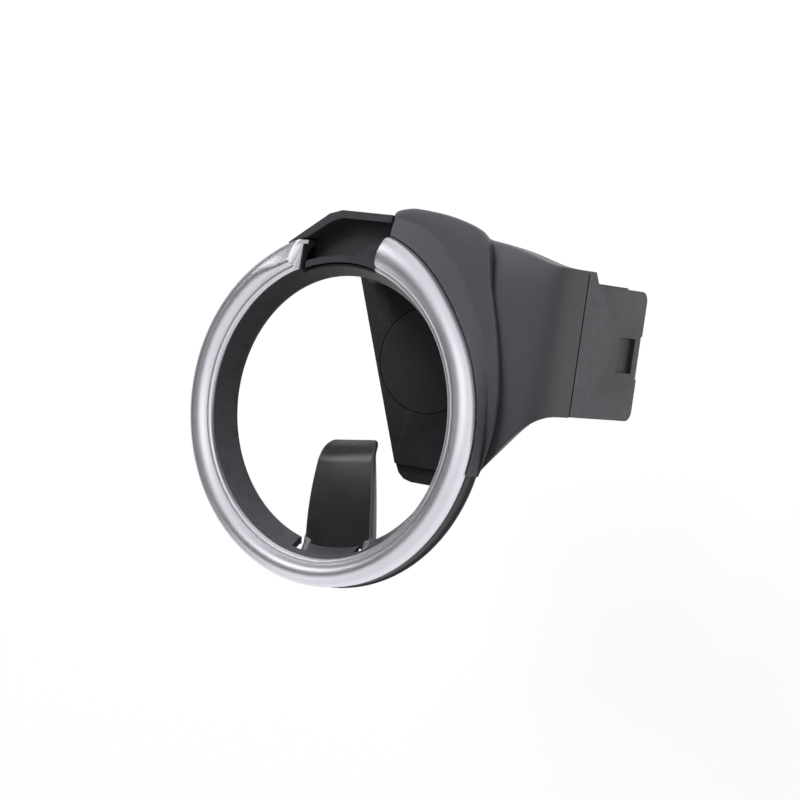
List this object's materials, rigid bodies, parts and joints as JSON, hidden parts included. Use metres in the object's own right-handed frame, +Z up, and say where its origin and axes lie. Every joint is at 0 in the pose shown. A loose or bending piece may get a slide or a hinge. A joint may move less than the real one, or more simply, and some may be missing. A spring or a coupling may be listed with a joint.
{
  "type": "car cup holder",
  "caption": "Plug-in car cup holder: an open ring with a silver trim, a sprung finger, a rear finger pocket, a low support shelf, and a neck with a flat plug-in tongue.",
  "frame": {"origin": "centre of the tongue's flat outer face", "axes": "+X out of the tongue's face, +Z up along the cup axis with the tongue pointing down, +Y across the tongue toward the finger pocket"},
  "size_m": [0.1066, 0.1011, 0.0571],
  "materials": {
    "black_shell": "fine-grained matt black moulding",
    "black_smooth": "smoother satin black moulding",
    "silver_trim": "satin silver coat",
    "pad": "matt black",
    "steel": "plain zinc-coated steel"
  },
  "bodies": {
    "holder": {"hoop": "black_shell", "trim_ring": "silver_trim", "cheek": "black_shell", "pocket": "black_shell", "neck": "black_shell", "carrier": "black_shell", "shelf": "black_smooth", "shelf_pad": "pad", "tongue": "black_shell", "finger_pin": "steel", "finger_spring": "steel", "hinge_tab": "black_shell", "cheek_screws": "steel", "tongue_screws": "steel", "shelf_screws": "steel"},
    "finger": {"finger": "black_smooth"}
  },
  "joints": [
    {"name": "finger_swing", "type": "hinge", "parent": "holder", "child": "finger", "pos_m": [-0.05416, -0.06659, 0.0335], "axis": [-0.9903, -0.1392, 0], "range_deg": [0, 68], "stiffness_Nm_per_rad": 0.02, "springref_deg": -17.19}
  ]
}
